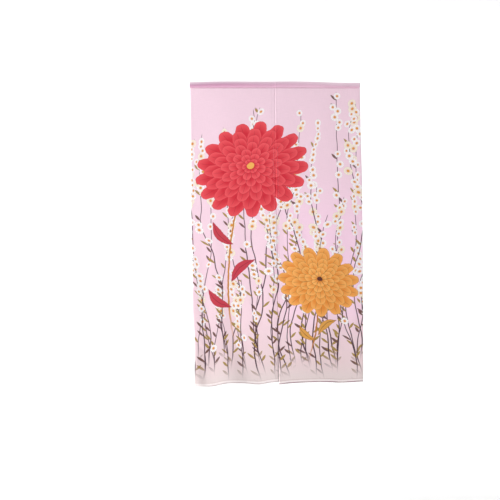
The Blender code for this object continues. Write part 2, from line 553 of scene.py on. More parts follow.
@dataclass(frozen=True)
class MeadowPrint:
    """The printed design: two large blooms in a meadow of daisies that grow up from the hem."""

    # Ground colours by height above the hem: a rosy sky that greys towards the foot.
    ground: Tones = (
        (0.02, "E5D5D4"),
        (0.10, "ECD4D7"),
        (0.20, "F2D6DD"),
        (0.34, "F9DAE4"),
        (0.60, "F9D8E6"),
        (1.00, "F7D7E6"),
        (1.50, "F5D6E4"),
    )
    ground_top: float = 1.5
    # A pinker glow in the ground, right of the slit and below the middle.
    glow: str = "FFD9EF"
    glow_across: Ramp = Ramp(-0.05, 0.12, 0.0, 0.9)
    glow_foot: Ramp = Ramp(0.20, 0.45)
    glow_head: Ramp = Ramp(1.10, 0.70)
    # Hand-drawn edges: the large motifs waver by about 1.5 mm.
    waver_scale: float = 28.0
    waver: float = 0.009
    stem_pitch: float = 0.100
    stem_sway: float = 0.009
    sway_scale: float = 5.0
    sway_detail: float = 1.5
    # Where in its column a stem stands, as a share of the column's width.
    stem_place: Pair = (0.45, 0.55)
    # Each layer of stems starts this much further along, and leans and bends on its own.
    layers: int = 4
    layer_shift: float = 0.0270
    layer_bend: float = 4.7
    layer_seed: float = 61.0
    lean: float = 0.052
    lean_scale: float = 1.9
    # A stem's taper and its tip go by the share of its height.
    stem_taper: Ramp = Ramp(0.2, 1.0, 0.0026, 0.0013)
    stem_tip: Ramp = Ramp(1.0, 0.99)
    stem_edge: float = 0.0004
    stem_foot: Pair = (0.00, 0.12)
    stem_top: Pair = (0.45, 1.46)
    mist: float = 0.10
    # Daisies: the jitter is the height in a stretch of the stem, the petals are the fewest, the
    # most and the steps between, and the odds go by the share of the stem's height.
    flower_pitch: float = 0.052
    flower_jitter: Pair = (0.42, 0.58)
    flower_lean: float = 0.018
    flower_reach: Pair = (0.0150, 0.0218)
    flower_petals: tuple[float, float, float] = (11.0, 15.0, 4.0)
    flower_line: float = 0.0008
    flower_odds: Ramp = Ramp(0.36, 0.92, 0.0, 0.85)
    flower_top: float = 0.995
    flower_blush: Ramp = Ramp(0.70, 0.36, 0.0, 0.55)
    flower_heart: Ramp = Ramp(0.37, 0.31)
    white_share: float = 0.80
    run_seeds: tuple[float, ...] = (17.3, 148.3)
    leaf_pitch: float = 0.042
    leaf_length: float = 0.041
    leaf_half_width: float = 0.0054
    leaf_odds: Ramp = Ramp(0.15, 0.75, 0.80, 0.12)
    light_leaf_share: float = 0.70
    stem_colour: str = "4A2A3A"
    leaf_colour: str = "A98A48"
    dark_leaf_colour: str = "74504A"
    petal_colour: str = "FFFCFC"
    cream_colour: str = "FBF1DC"
    blush_colour: str = "F3C9D4"
    petal_line: str = "DDB5C0"
    heart_colour: str = "E09A38"
    # The dip between two petals, as a share of the reach, and how blunt their tips are.
    petal_dip: float = 0.24
    petal_bluntness: float = 2.6
    red: Bloom = Bloom(
        centre=(-0.120, 1.060),
        reach=0.290,
        tilt=0.35,
        squash=0.80,
        rings=((1.00, 17), (0.85, 16), (0.70, 15), (0.55, 13), (0.41, 11), (0.28, 8), (0.16, 6)),
        tip="F0565E",
        base="D41F34",
        line="A81526",
        heart="F6B65A",
    )
    gold: Bloom = Bloom(
        centre=(0.205, 0.500),
        reach=0.205,
        tilt=-0.30,
        squash=0.82,
        rings=((1.00, 15), (0.84, 14), (0.68, 13), (0.52, 11), (0.37, 8), (0.22, 6)),
        tip="F9B661",
        base="E8892F",
        line="8A4A1C",
        heart="5A2A1C",
    )
    red_shoot: Shoot = Shoot(
        foot=(-0.215, 0.150),
        head=(-0.150, 1.020),
        bow=-0.060,
        width=0.0085,
        colour="C98436",
        leaf="C8394B",
        vein="8E1E30",
        blades=(
            Blade(0.24, 2.45, 0.150, 0.042),
            Blade(0.42, 0.75, 0.165, 0.046),
            Blade(0.60, 2.30, 0.150, 0.042),
        ),
    )
    gold_shoot: Shoot = Shoot(
        foot=(0.140, 0.085),
        head=(0.200, 0.470),
        bow=0.022,
        width=0.0070,
        colour="B9722B",
        leaf="DFA04A",
        vein="7C4A1E",
        blades=(Blade(0.30, 2.40, 0.110, 0.032), Blade(0.42, 0.70, 0.120, 0.035)),
    )

    def petal_ring(self) -> Tree:
        """Makes the group that draws one ring of petals about a centre.

        Returns:
            A group from a place, in metres from the centre, to the ring's cover, its outlines,
            how far out the place lies, and its distance from the middle line of its petal.
        """
        floats = dict.fromkeys(("Reach", "Petals", "Turn", "Line"), "Float")
        outputs = dict.fromkeys(("Cover", "Outline", "Share", "Ray"), "Float")
        tree, put, (place, reach, petals, turn, line), made = new_group(
            "petal_ring", "ShaderNodeTree", {"Place": "Vector", **floats}, outputs
        )
        out = put(V_LENGTH, place)
        x, y, _ = put(AXES, place).outputs
        turns = put(MULTIPLY_ADD, put(ARCTAN2, y, x), 0.5 / math.pi, turn)
        aside = put(PINGPONG, put(MULTIPLY, turns, petals), 0.5)
        dip = put(POWER, put(MULTIPLY, aside, 2.0), self.petal_bluntness)
        edge = put(MULTIPLY, put(MULTIPLY_ADD, dip, -self.petal_dip, 1.0), reach)
        inside = put(SUBTRACT, edge, out)
        cover = put(RANGE, inside, -PRINT_EDGE, PRINT_EDGE)
        rim = put(RANGE, inside, line, 0.0)
        to_side = put(SUBTRACT, 0.5, aside)
        petal_arc = put(DIVIDE, put(MULTIPLY, out, math.tau), petals)
        side = put(RANGE, put(MULTIPLY, to_side, petal_arc), line, 0.0)
        outline = put(MULTIPLY, put(MAXIMUM, rim, side), cover)
        share = put(DIVIDE, out, edge)
        feed(tree, made, cover, outline, share, put(MULTIPLY, aside, petal_arc))
        return tree

    def leaf_blade(self) -> Tree:
        """Makes the group that draws one pointed leaf.

        Returns:
            A group from a flat place to the leaf's cover and the line of its vein.
        """
        vectors = dict.fromkeys(("Place", "Centre"), "Vector")
        floats = dict.fromkeys(("Angle", "Length", "Width"), "Float")
        tree, put, (place, centre, angle, length, width), made = new_group(
            "leaf_blade", "ShaderNodeTree", vectors | floats, {"Cover": "Float", "Vein": "Float"}
        )
        away = put(V_SUBTRACT, place, centre)
        x, y, _ = put(AXES, put(TURN, away, None, put(MULTIPLY, angle, -1.0))).outputs
        along = put(DIVIDE, x, put(MULTIPLY, length, 0.5))
        square = put(MULTIPLY, along, along)
        left = put(SUBTRACT, 1.0, square)
        half_width = put(MULTIPLY, width, 0.5)
        reach = put(MULTIPLY, left, half_width)
        off = put(ABSOLUTE, put(ADD, y, put(MULTIPLY, square, half_width)))
        inside = put(SUBTRACT, reach, off)
        cover = put(RANGE, inside, -PRINT_EDGE, PRINT_EDGE)
        lines = put(MAXIMUM, put(RANGE, off, *FINE_LINE), put(RANGE, inside, *FINE_LINE))
        feed(tree, made, cover, put(MULTIPLY, lines, cover))
        return tree

    def small_flower(self, ring: Tree) -> Tree:
        """Makes the group that draws one run of daisies towards the tip of a stem.

        Each daisy has its own stretch of the stem, a flower pitch long, and stays inside it, so
        that none is cut off.

        Args:
            ring: the petal ring group.

        Returns:
            A group from a place by the stem to the daisies' colour and cover.
        """
        floats = dict.fromkeys(("Seed", "Phase", "Top"), "Float")
        outputs = {"Colour": "Color", "Cover": "Float"}
        tree, put, (place, seed, phase, top), made = new_group(
            "small_flower", "ShaderNodeTree", {"Place": "Vector", **floats}, outputs
        )
        aside, h, _ = put(AXES, place).outputs
        rows = put(MULTIPLY_ADD, h, 1.0 / self.flower_pitch, phase)
        row = put(FLOOR, rows)
        picked, dice = put(DICE_2D, put(JOIN, seed, row)).outputs
        first, second, third = put(CHANNELS, dice).outputs
        jitter = put(RANGE, first, 0.0, 1.0, *self.flower_jitter)
        up_from = put(SUBTRACT, put(SUBTRACT, rows, row), jitter)
        flower_h = put(MULTIPLY, up_from, self.flower_pitch)
        lean = put(RANGE, second, 0.0, 1.0, -self.flower_lean, self.flower_lean)
        seen = put(JOIN, put(SUBTRACT, aside, lean), flower_h)
        reach = put(RANGE, third, 0.0, 1.0, *self.flower_reach)
        petals = put(STEPS, first, 0.0, 1.0, *self.flower_petals)
        drawn = put(GROUP, seen, reach, petals, second, self.flower_line, node_tree=ring)
        shape, outline, out, _ = drawn.outputs

        # A whole flower is there or not: both tests use the height of its own centre.
        from_foot = put(SUBTRACT, put(ADD, row, jitter), phase)
        share = put(DIVIDE, put(MULTIPLY, from_foot, self.flower_pitch), top)
        grown = put(LESS_THAN, picked, put(RANGE, share, *self.flower_odds))
        there = put(MULTIPLY, grown, put(LESS_THAN, share, self.flower_top))
        cover = put(MULTIPLY, shape, there)

        is_cream = put(GREATER_THAN, third, self.white_share)
        white = put(MIX, is_cream, self.petal_colour, self.cream_colour)
        blush = put(RANGE, out, *self.flower_blush)
        lined = put(MIX, outline, put(MIX, blush, white, self.blush_colour), self.petal_line)
        heart = put(RANGE, out, *self.flower_heart)
        feed(tree, made, put(MIX, heart, lined, self.heart_colour), cover)
        return tree

    def flower_stem(self, ring: Tree) -> Tree:
        """Makes the group that draws one layer of upright stems with leaves and daisies.

        The cloth is split into columns a stem pitch wide, with one stem in each. A stem sways and
        its daisies lean only as far as its own column reaches.

        Args:
            ring: the petal ring group, which draws the daisies.

        Returns:
            A group from the colour so far, a flat place and a seed, to the colour with the stems
            drawn over it.
        """
        inputs = {"Under": "Color", "Place": "Vector", "Seed": "Float"}
        tree, put, (under, place, layer_seed), made = new_group(
            "flower_stem", "ShaderNodeTree", inputs, {"Colour": "Color"}
        )
        u, h, _ = put(AXES, in_turn(put, place, under)).outputs
        column = put(FLOOR, put(DIVIDE, u, self.stem_pitch))
        seed = put(ADD, column, layer_seed)
        shift, phase, tall = put(CHANNELS, put(DICE_1D, seed).outputs["Color"]).outputs

        # The stem's line wanders as it climbs.
        wander = put(NOISE_2D, put(JOIN, seed, h), self.sway_scale, self.sway_detail)
        sway = put(RANGE, wander, *NOISE_SPAN, -self.stem_sway, self.stem_sway)
        uneven = put(RANGE, shift, 0.0, 1.0, *self.stem_place)
        line_u = put(MULTIPLY_ADD, put(ADD, column, uneven), self.stem_pitch, sway)
        aside = put(SUBTRACT, u, line_u)
        top = put(RANGE, tall, 0.0, 1.0, *self.stem_top)
        share = put(DIVIDE, h, top)
        off = put(ABSOLUTE, aside)
        half_width = put(RANGE, share, *self.stem_taper)
        inside = put(SUBTRACT, half_width, off)
        stem_line = put(RANGE, inside, -self.stem_edge, self.stem_edge)
        below_top = put(RANGE, share, *self.stem_tip)
        # Each stem fades in from the ground colour just above the hem.
        foot = put(RANGE, phase, 0.0, 1.0, *self.stem_foot)
        out_of_mist = put(EASE, put(SUBTRACT, h, foot), 0.0, self.mist)
        live = put(MULTIPLY, below_top, out_of_mist)
        stem = put(MULTIPLY, stem_line, live)

        # A leaf or none to each leaf pitch, most of them low on the stem. It points up and
        # outwards at 45 degrees.
        diagonal = 0.7071
        leaf_rows = put(MULTIPLY_ADD, h, 1.0 / self.leaf_pitch, phase)
        leaf_row = put(FLOOR, leaf_rows)
        leaf_picked, leaf_dice = put(DICE_2D, put(JOIN, seed, leaf_row)).outputs
        leaf_first, leaf_second, _ = put(CHANNELS, leaf_dice).outputs
        leaf_h = put(MULTIPLY, put(SUBTRACT, leaf_rows, leaf_row), self.leaf_pitch)
        leaf_side = put(MULTIPLY_ADD, put(GREATER_THAN, leaf_first, 0.5), 2.0, -1.0)
        leaf_out = put(MULTIPLY, aside, leaf_side)
        along = put(MULTIPLY, put(ADD, leaf_out, leaf_h), diagonal)
        athwart = put(MULTIPLY, put(SUBTRACT, leaf_out, leaf_h), diagonal)
        centred = put(MULTIPLY_ADD, along, 2.0 / self.leaf_length, -1.0)
        fall = put(MULTIPLY, centred, centred)
        leaf_reach = put(MULTIPLY_ADD, fall, -self.leaf_half_width, self.leaf_half_width)
        leaf_in = put(SUBTRACT, leaf_reach, put(ABSOLUTE, athwart))
        leaf_shape = put(RANGE, leaf_in, -PRINT_EDGE, PRINT_EDGE)
        grown = put(LESS_THAN, leaf_picked, put(RANGE, share, *self.leaf_odds))
        leaf = put(MULTIPLY, put(MULTIPLY, leaf_shape, grown), live)
        is_dark = put(GREATER_THAN, leaf_second, self.light_leaf_share)
        leaf_tone = put(MIX, is_dark, self.leaf_colour, self.dark_leaf_colour)
        colour = put(MIX, leaf, self.stem_colour, leaf_tone)
        cover = put(MAXIMUM, stem, leaf)

        # Two runs of daisies, half a flower pitch apart, crowd over each other in clusters.
        flower = self.small_flower(ring)
        by_stem = put(JOIN, aside, h)
        for number, run in enumerate(self.run_seeds):
            run_seed, run_phase = put(ADD, seed, run), put(ADD, phase, 0.5 * number)
            now = in_turn(put, by_stem, colour)
            drawn, shape = put(GROUP, now, run_seed, run_phase, top, node_tree=flower).outputs
            colour = put(MIX, shape, colour, drawn)
            cover = put(MAXIMUM, cover, shape)
        feed(tree, made, put(MIX, cover, under, colour))
        return tree

    def leaning(self, put: Put, u: Source, h: Source, number: int) -> Node:
        """Bends the columns of one layer of stems, so that they lean like grass in a breeze.

        Args:
            put: adds a node to the print's tree.
            u: the flat place across the cloth.
            h: the flat place up the cloth.
            number: the layer's number.

        Returns:
            The flat place as that layer sees it.
        """
        far = put(ADD, h, self.layer_bend * number)
        bend = put(NOISE_2D, put(JOIN, u, far), self.lean_scale, 0.0)
        aside = put(RANGE, bend, *NOISE_SPAN, -self.lean, self.lean)
        shifted = put(ADD, put(ADD, u, aside), self.layer_shift * number)
        return put(JOIN, shifted, h)

    def group(self) -> Tree:
        """Makes the whole print, read off the cloth's own map.

        Returns:
            A group with one output, the print's colour.
        """
        tree, put, _, made = new_group("meadow_print", "ShaderNodeTree", {}, {"Colour": "Color"})
        ring, blade = self.petal_ring(), self.leaf_blade()
        stem = self.flower_stem(ring)
        flat = put(FLAT_PLACE)
        u, h, _ = put(AXES, flat).outputs
        waver = put(NOISE_2D, flat, self.waver_scale, 2.0)
        centred = put(V_SUBTRACT, waver.outputs["Color"], (0.5, 0.5, 0.5))
        wavered = put(V_MULTIPLY_ADD, centred, (self.waver, self.waver, 0.0), flat)

        height = put(RANGE, h, 0.0, self.ground_top)
        sky = set_stops(put(TONES, height), self.ground, self.ground_top)
        across = put(EASE, u, *self.glow_across)
        upright = put(MULTIPLY, put(EASE, h, *self.glow_foot), put(EASE, h, *self.glow_head))
        colour = put(MIX, put(MULTIPLY, across, upright), sky, self.glow)
        for number in range(self.layers):
            leaning = self.leaning(put, u, h, number)
            colour = put(GROUP, colour, leaning, self.layer_seed * number, node_tree=stem)
        for shoot in (self.red_shoot, self.gold_shoot):
            colour = shoot.draw(put, colour, wavered, blade)
        for bloom in (self.red, self.gold):
            colour = bloom.draw(put, colour, wavered, ring)
        feed(tree, made, colour)
        return tree


# --- Finishes ---


@dataclass(frozen=True)
class PrintedPolyester:
    """Thin plain-woven polyester, transfer printed on one side: a soft, slightly silky face."""

    # Threads lie 0.3 mm apart. They are drawn 1.6 mm apart, because finer ones don't show.
    thread_pitch: float = 0.0016
    relief: float = 0.22
    relief_depth: float = 0.0003
    # Slubs, thicker stretches of thread, are about 38 mm long and 1.6 mm apart: 26 and 620 to a
    # metre. They tone the cloth and change its roughness a little.
    slub_scales: Pair = (26.0, 620.0)
    slub_span: Pair = (0.7, 1.3)
    slub_tone: Pair = (0.975, 1.02)
    roughness: float = 0.62
    roughness_spread: float = 0.08
    ior: float = 1.45
    sheen: float = 0.18
    sheen_roughness: float = 0.4
    # The print shows through the reverse paler.
    reverse_fade: float = 0.46
    reverse_colour: str = "FBE9F0"
    # Tones by height above the hem, over the lowest 20 mm: painted shade on the turned fold, the
    # pale selvedge, and painted shade in the dip above the stitches.
    foot_band: Pair = (0.0, 0.020)
    foot_tones: Tones = (
        (0.00, "AF959D"),
        (0.24, "AF959D"),
        (0.30, "FFFFFF"),
        (0.74, "FFFFFF"),
        (0.80, "EEE6E7"),
        (0.90, "EEE6E7"),
        (0.97, "FFFFFF"),
    )
    # Tones by height over the pocket's band, from 13 mm below its stitches to just past its top:
    # painted shade over the band and its rounded top, partly the deeper pink of its two layers.
    pocket_band: Pair = (1.455, 1.503)
    pocket_tones: Tones = (
        (0.10, "FFFFFF"),
        (0.22, "FFFFFF"),
        (0.31, "FCE4F2"),
        (0.42, "EACCE1"),
        (0.54, "DBB9CE"),
        (0.65, "D2B8CA"),
        (0.76, "DACED9"),
        (0.87, "ECF0F0"),
        (1.00, "E8EAEC"),
    )
    # The pocket's tint, partly painted shade and partly the pink of its two layers, is deepest on
    # the left, where the layers lie closer.
    pocket_strength: Ramp = Ramp(-0.25, 0.15, 1.0, 0.56)
    # The pale band over the fold: the unprinted selvedge, with a painted highlight on the turned
    # fold.
    selvedge_highlight_colour: str = "FFF6F5"
    # The turned-up foot's shaded fold: along the left width, along the right one, in patches.
    fold_left: Ramp = Ramp(-0.40, -0.33, 0.0, 0.55)
    fold_right: Ramp = Ramp(-0.01, 0.05, 0.0, 0.45)
    patch_scale: float = 17.0
    patches: Ramp = Ramp(0.35, 0.60, 0.70, 1.0)
    over_fold: Ramp = Ramp(0.0046, 0.0058)
    under_stitches: Ramp = Ramp(0.0142, 0.0122, 0.0, 0.75)
    # Painted shade: the left edge's rim, darker towards its top, and a band beside that edge,
    # greyer lower down, each by the distance from that edge and then by height; and the right
    # edge's rim.
    left_edge: float = -0.425
    rim: Ramp = Ramp(0.0068, 0.0040)
    rim_dark: Ramp = Ramp(0.55, 1.10, 0.015, 0.095)
    lower_left_shade: Ramp = Ramp(0.036, 0.008)
    lower_left_shade_depth: Ramp = Ramp(0.46, 0.24, 0.0, 0.110)
    right_rim: Ramp = Ramp(0.4215, 0.4230, 0.0, 0.17)
    # Near the foot the right width laps over the left and shades it.
    lap_height: Ramp = Ramp(0.185, 0.150)
    lap_shade: Ramp = Ramp(-0.0072, -0.0062, 0.0, 0.47)
    lap_end: Ramp = Ramp(0.0, 0.0002, 1.0, 0.0)
    # Painted shade draws faint lines at the inner edges of the two hems at the slit.
    hem_lines: tuple[tuple[float, Ramp], ...] = (
        (0.0085, Ramp(0.0042, 0.0028, 0.0, 0.050)),
        (-0.0185, Ramp(0.0034, 0.0022, 0.0, 0.030)),
    )
    # The front edge of the slit catches the light, most near the foot.
    front_edge: Ramp = Ramp(0.0054, 0.0044)
    front_start: Ramp = Ramp(-0.0002, 0.0)
    front_gain: Ramp = Ramp(0.185, 0.150, 1.07, 1.20)

    def edge_shade(self, put: Put, u: Source, h: Source) -> Node:
        """Shades the long edges, where the turned cloth rounds away from the light.

        Args:
            put: adds a node to the material's tree.
            u: the flat place across the cloth.
            h: the flat place up the cloth.

        Returns:
            The share of light that is left.
        """
        on_left = put(SUBTRACT, u, self.left_edge)
        upper = put(MULTIPLY, put(RANGE, on_left, *self.rim), put(RANGE, h, *self.rim_dark))
        lower_left_shade = put(RANGE, on_left, *self.lower_left_shade)
        lower = put(MULTIPLY, lower_left_shade, put(RANGE, h, *self.lower_left_shade_depth))
        left = put(ADD, upper, lower)
        right = put(RANGE, u, *self.right_rim)
        low = put(RANGE, h, *self.lap_height)
        lap = put(MULTIPLY, put(RANGE, u, *self.lap_shade), put(RANGE, u, *self.lap_end))
        lapped = put(MULTIPLY, lap, low)
        hem_lines = [
            put(RANGE, put(ABSOLUTE, put(SUBTRACT, u, middle)), *shade)
            for middle, shade in self.hem_lines
        ]
        hems = put(ADD, *hem_lines)
        sides = put(ADD, left, right)
        taken = put(ADD, sides, put(ADD, lapped, hems))
        front = put(MULTIPLY, put(RANGE, u, *self.front_edge), put(RANGE, u, *self.front_start))
        gain = put(RANGE, h, *self.front_gain)
        lit = put(MULTIPLY, front, put(SUBTRACT, gain, taken))
        return put(MAXIMUM, lit, put(SUBTRACT, 1.0, taken))

    def layers_and_painted_shade(self, put: Put, u: Source, h: Source, colour: Node) -> Node:
        """Paints shade and highlight on the pocket and the hem, where the cloth lies in layers.

        Args:
            put: adds a node to the material's tree.
            u: the flat place across the cloth.
            h: the flat place up the cloth.
            colour: the print's colour.

        Returns:
            The node with the new colour.
        """
        # The turned-up foot shows a pale band, the selvedge with a painted highlight, over painted
        # shade on the fold, unevenly along the hem.
        uneven = put(NOISE_1D, u, self.patch_scale, 1.0)
        along = put(ADD, put(RANGE, u, *self.fold_left), put(RANGE, u, *self.fold_right))
        shaded = put(MULTIPLY, along, put(RANGE, uneven, *self.patches))
        over_fold = put(RANGE, h, *self.over_fold)
        pale = put(MAXIMUM, over_fold, put(SUBTRACT, 1.0, shaded))
        selvedge_highlight = put(MULTIPLY, pale, put(RANGE, h, *self.under_stitches))
        paled = put(MIX, selvedge_highlight, colour, self.selvedge_highlight_colour)
        foot = set_stops(put(TONES, put(RANGE, h, *self.foot_band)), self.foot_tones)
        footed = put(TINT, shaded, paled, foot)
        pocket_shade_share = put(RANGE, u, *self.pocket_strength)
        pocket = set_stops(put(TONES, put(RANGE, h, *self.pocket_band)), self.pocket_tones)
        return put(TINT, pocket_shade_share, footed, pocket)

    def material(self, face: ClothFace, design: Tree) -> bpy.types.Material:
        """Makes the material of one side of the cloth.

        Args:
            face: the printed side or the reverse.
            design: the print's group.

        Returns:
            The material.
        """
        material, put = new_material(f"polyester_plain_weave_{face.name.lower()}")
        flat = put(FLAT_PLACE)
        u, h, _ = put(AXES, flat).outputs
        colour = put(GROUP, node_tree=design)
        if face is ClothFace.REVERSE:
            colour = put(MIX, self.reverse_fade, colour, self.reverse_colour)

        long, short = self.slub_scales
        stretches = ((long, short, 1.0), (short, long, 1.0))
        maps = [put(STRETCH, into={"Vector": flat, "Scale": stretch}) for stretch in stretches]
        slub = put(ADD, *[put(NOISE_2D, way, 1.0, 1.0) for way in maps])
        tone = put(RANGE, slub, *self.slub_span, *self.slub_tone)

        # The edges' painted shade and highlight, toned by the slubs, darken the base colour.
        shades = put(MULTIPLY, self.edge_shade(put, u, h), tone)
        tinted = self.layers_and_painted_shade(put, u, h, colour)
        base = put(TINT, 1.0, tinted, put(COLOUR, shades, shades, shades))
        waves = [put(way, flat, wave_scale(self.thread_pitch)) for way in (WAVE_X, WAVE_Y)]
        weave = put(MULTIPLY, *[wave.outputs["Fac"] for wave in waves])
        bumps = {"Strength": self.relief, "Distance": self.relief_depth}
        relief = put(RELIEF, into={**bumps, "Height": put(ADD, weave, slub)})
        low, high = self.roughness - self.roughness_spread, self.roughness + self.roughness_spread
        looks = {
            "Base Color": base,
            "Roughness": put(RANGE, slub, *self.slub_span, low, high),
            "Normal": relief,
            "IOR": self.ior,
            "Sheen Weight": self.sheen,
            "Sheen Roughness": self.sheen_roughness,
        }
        put(OUTPUT, put(SURFACE, into=looks))
        return material


@dataclass(frozen=True)
class SpunThread:
    """Spun polyester sewing thread, twisted from two plies: matt, with a soft slanting grain."""

    colour: str = "EBC3D3"
    roughness: float = 0.7
    sheen: float = 0.2
    # Ply ridges lie 0.4 mm apart. They are drawn 4 mm apart along the thread, because finer ones
    # don't show: a slanted wave is four times this pitch long.
    ply_pitch: float = 0.001
    ply_tone: Pair = (0.90, 1.0)
    relief: float = 0.3
    relief_depth: float = 0.0001

    def material(self) -> bpy.types.Material:
        """Makes the thread's material.

        Returns:
            The material.
        """
        material, put = new_material("spun_polyester_thread")
        twist = put(WAVE_SLANTED, put(PLACE).outputs["Object"], wave_scale(self.ply_pitch))
        ply = twist.outputs["Fac"]
        tone = put(RANGE, ply, 0.0, 1.0, *self.ply_tone)
        base = put(TINT, 1.0, self.colour, put(COLOUR, tone, tone, tone))
        bumps = {"Strength": self.relief, "Distance": self.relief_depth}
        relief = put(RELIEF, into={**bumps, "Height": ply})
        looks = {"Roughness": self.roughness, "Normal": relief, "Sheen Weight": self.sheen}
        put(OUTPUT, put(SURFACE, into={"Base Color": base, **looks}))
        return material


@dataclass(frozen=True)
class StudioPaper:
    """White background paper on a roll: matt, with the faintest mottle."""

    colour: str = "FFFFFF"
    roughness: float = 0.9
    mottle_scale: float = 3.0
    mottle: Ramp = Ramp(0.3, 0.7, 0.985, 1.0)

    def material(self) -> bpy.types.Material:
        """Makes the paper's material.

        Returns:
            The material.
        """
        material, put = new_material("background_paper")
        mottle = put(NOISE_3D, put(PLACE).outputs["Object"], self.mottle_scale)
        tone = put(RANGE, mottle, *self.mottle)
        base = put(TINT, 1.0, self.colour, put(COLOUR, tone, tone, tone))
        put(OUTPUT, put(SURFACE, into={"Base Color": base, "Roughness": self.roughness}))
        return material


# --- The cloth ---


class Edge(IntEnum):
    """The long edges, as columns of the table of their drift."""

    LEFT = 1
    SLIT = 2
    RIGHT = 3


@dataclass(frozen=True)
class HangingCloth:
    """The rules that say where the cloth hangs. The solids follow the same ones."""

    half_width: float = 0.425
    length: float = 1.500
    slit_start: float = 0.330
    pocket_drop: float = 0.032
    slit_overlap: float = 0.0030
    overlap_start: float = 1.200
    ripple_depth: float = 0.0025
    ripple_pitch: float = 0.240
    ripple_end: float = 0.550
    hem_drop_start: float = 0.700
    # The drift towards +X of the left edge, the slit and the right edge, by the drop v.
    edges: tuple[tuple[float, float, float, float], ...] = (
        (0.00, 0.001, 0.0000, 0.000),
        (0.25, 0.0055, 0.0025, 0.004),
        (0.50, 0.0075, 0.0060, 0.011),
        (0.75, 0.008, 0.0095, 0.014),
        (0.92, 0.0145, 0.0120, 0.015),
        (1.10, 0.015, 0.0140, 0.016),
        (1.25, 0.0245, 0.0162, 0.016),
        (1.35, 0.0265, 0.0187, 0.016),
        (1.42, 0.0235, 0.0208, 0.0172),
        (1.50, 0.025, 0.0220, 0.017),
    )

    def to_hem(self, v: float, start: float) -> float:
        """Eases from 0 at a drop to 1 at the hem."""
        return smooth((v - start) / (self.length - start))


# The end of a fold that is still there at the hem: a drop far below it.
THROUGH_HEM = 9.0


@dataclass(frozen=True)
class Fold:
    """A fold from the heading to the hem; a positive depth stands towards the viewer.

    It starts, is full and ends at the drops of those names.
    """

    top_u: float
    hem_u: float
    half_width: float
    depth: float
    start: float
    full: float
    end: float

    def depth_at(self, u: float, v: float, cloth: HangingCloth) -> float:
        """How far the fold brings a place of the flat cloth forward.

        Args:
            u: the place to the right of the slit.
            v: the place below the top edge.
            cloth: the cloth that is folded.

        Returns:
            The depth, in metres.
        """
        centre = self.top_u + cloth.to_hem(v, self.start) * (self.hem_u - self.top_u)
        strength = smooth((v - self.start) / (self.full - self.start))
        strength *= 1.0 - smooth((v - self.full) / (self.end - self.full))
        return self.depth * strength * bump((u - centre) / self.half_width)


@dataclass(frozen=True)
class Crease:
    """A soft trough or ridge between two places of the flat cloth."""

    start: Pair
    end: Pair
    half_width: float
    depth: float

    def depth_at(self, u: float, v: float) -> float:
        """How far the crease brings a place of the flat cloth forward.

        Args:
            u: the place to the right of the slit.
            v: the place below the top edge.

        Returns:
            The depth, in metres.
        """
        run = Vector(self.end) - Vector(self.start)
        away = Vector((u, v)) - Vector(self.start)
        share = away.dot(run) / run.length_squared
        off = (away - run * min(1.0, max(0.0, share))).length
        if off >= self.half_width:
            return 0.0
        # It fades along its run too, to about a third at either end.
        along = 1.15 * (share - 0.5) / 0.95
        return self.depth * bump(off / self.half_width) * bump(along)


@dataclass(kw_only=True)
class ClothPiece:
    """One sheet of the curtain, which takes the place of a solid and carries its stitches."""

    name: str
    cloth: HangingCloth
    # Stitches lie this far off the cloth, and a seam has a point at least this often.
    seam_lift: float = 0.0001
    seam_step: float = 0.006
    piece: bpy.types.Object = field(init=False)

    def lay(self, grid: SheetGrid, finishes: Sequence[bpy.types.Material]) -> None:
        """Makes the sheet's printed face.

        Args:
            grid: its vertices.
            finishes: the materials of the printed face and the reverse.
        """
        name = f"{self.name}_cloth"
        self.piece = bpy.data.objects.new(name, grid.mesh(name))
        show(self.piece)
        for finish in finishes:
            self.piece.data.materials.append(finish)

    def thicken(self, thickness: float, **settings: object) -> None:
        """Gives the sheet its thickness and its reverse.

        Args:
            thickness: the cloth's thickness, behind the printed face.
            **settings: more attributes of the modifier.
        """
        shell = self.piece.modifiers.new("thickness", "SOLIDIFY")
        shell.thickness, shell.offset = thickness, -1.0
        shell.material_offset = ClothFace.REVERSE.value
        for name, value in settings.items():
            setattr(shell, name, value)
        settle(self.piece)

    def declare(self, stitching: bpy.types.Object, flat: Pair, rests_on: list[str]) -> None:
        """Attaches the sheet and its stitches to the body, and hides the solid that the sheet
        replaces.

        Args:
            stitching: the stitches.
            flat: the sheet's flat width and height; not used.
            rests_on: the pieces that it hangs from; not used.
        """
        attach(self.piece, BODY)
        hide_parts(self.name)
        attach(stitching, BODY)


